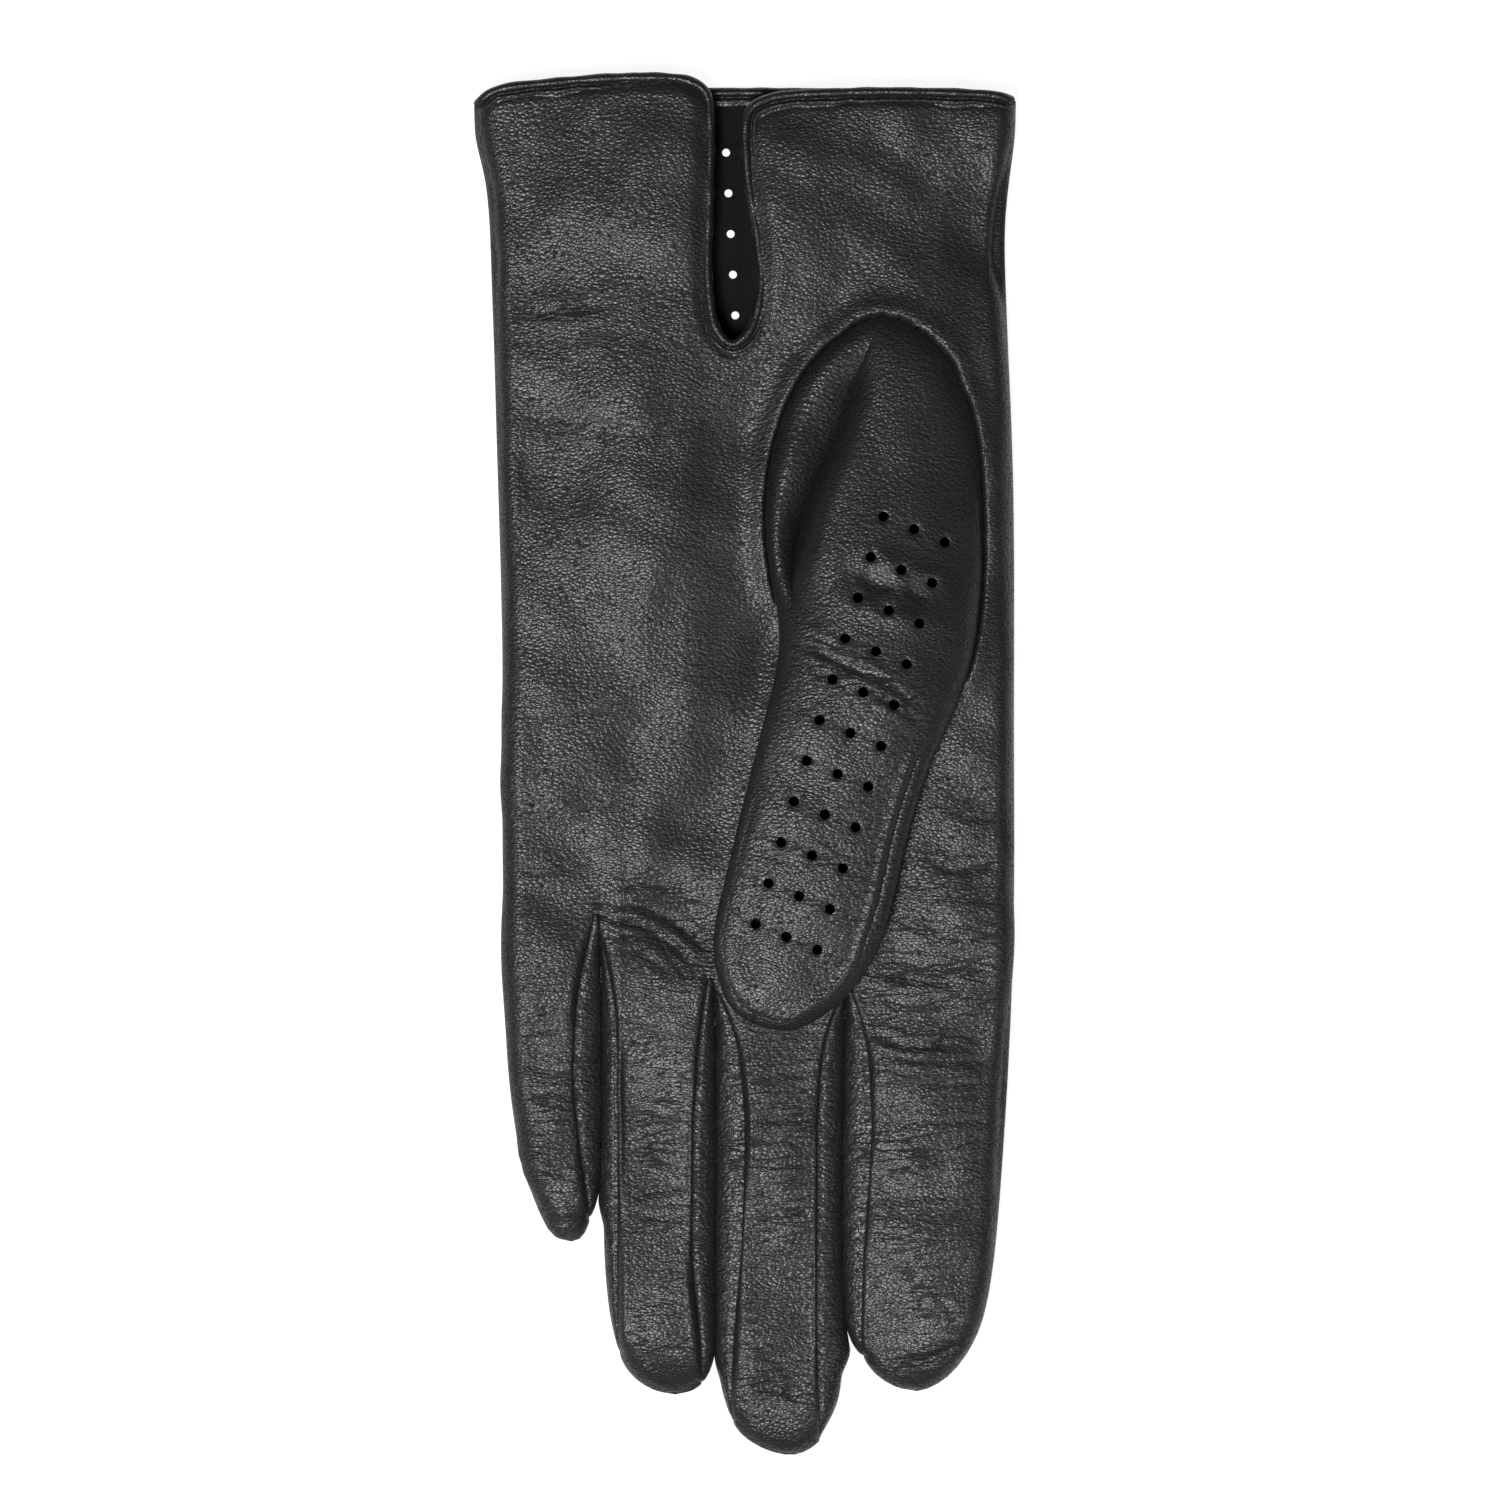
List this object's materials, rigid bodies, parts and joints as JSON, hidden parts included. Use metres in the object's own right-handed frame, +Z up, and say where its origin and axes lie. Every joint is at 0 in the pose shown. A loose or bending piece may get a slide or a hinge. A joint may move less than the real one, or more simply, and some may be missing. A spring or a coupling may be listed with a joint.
{
  "type": "leather driving glove",
  "caption": "Unlined leather glove for the left hand, lying palm up with the thumb folded over the palm, with a bound cuff vent, sewn finger gussets and rows of small holes.",
  "frame": {"origin": "on the surface that the glove lies on, under the centre of its outline", "axes": "+X towards the index side, +Y towards the cuff, +Z up out of the palm"},
  "size_m": [0.0973, 0.248, 0.0164],
  "materials": {
    "leather": "semi-matte black nappa with a fine grain",
    "fourchette_leather": "semi-matte black nappa, a slightly coarser grain",
    "binding_leather": "rolled black leather with matching stitches"
  },
  "bodies": {
    "hand": {"palm_panel": "leather", "back_panel": "leather", "cuff_binding_palm": "binding_leather", "cuff_binding_back": "binding_leather", "web_little_ring": "fourchette_leather", "web_ring_middle": "fourchette_leather", "web_middle_index": "fourchette_leather", "thumb_base": "leather", "thumb_quirk": "leather"},
    "thumb": {"thumb_back": "leather", "thumb_front": "leather", "thumb_side_strip": "fourchette_leather"},
    "little_finger": {"little_front": "leather", "little_back": "leather", "little_fourchette_ring_side": "fourchette_leather"},
    "ring_finger": {"ring_front": "leather", "ring_back": "leather", "ring_fourchette_little_side": "fourchette_leather", "ring_fourchette_middle_side": "fourchette_leather"},
    "middle_finger": {"middle_front": "leather", "middle_back": "leather", "middle_fourchette_ring_side": "fourchette_leather", "middle_fourchette_index_side": "fourchette_leather"},
    "index_finger": {"index_front": "leather", "index_back": "leather", "index_fourchette_middle_side": "fourchette_leather"}
  },
  "joints": [
    {"name": "little_curl", "type": "hinge", "parent": "hand", "child": "little_finger", "pos_m": [-0.035, -0.05285, 0.008], "axis": [-1, 0, 0], "range_deg": [0, 90]},
    {"name": "ring_curl", "type": "hinge", "parent": "hand", "child": "ring_finger", "pos_m": [-0.0153, -0.06085, 0.008], "axis": [-1, 0, 0], "range_deg": [0, 90]},
    {"name": "middle_curl", "type": "hinge", "parent": "hand", "child": "middle_finger", "pos_m": [0.0064, -0.06185, 0.008], "axis": [-1, 0, 0], "range_deg": [0, 90]},
    {"name": "index_curl", "type": "hinge", "parent": "hand", "child": "index_finger", "pos_m": [0.033, -0.06085, 0.008], "axis": [-1, 0, 0], "range_deg": [0, 90]},
    {"name": "thumb_lift", "type": "hinge", "parent": "hand", "child": "thumb", "pos_m": [0.0222, 0.0165, 0.0164], "axis": [-0.9207, 0.3903, 0], "range_deg": [0, 80]}
  ]
}
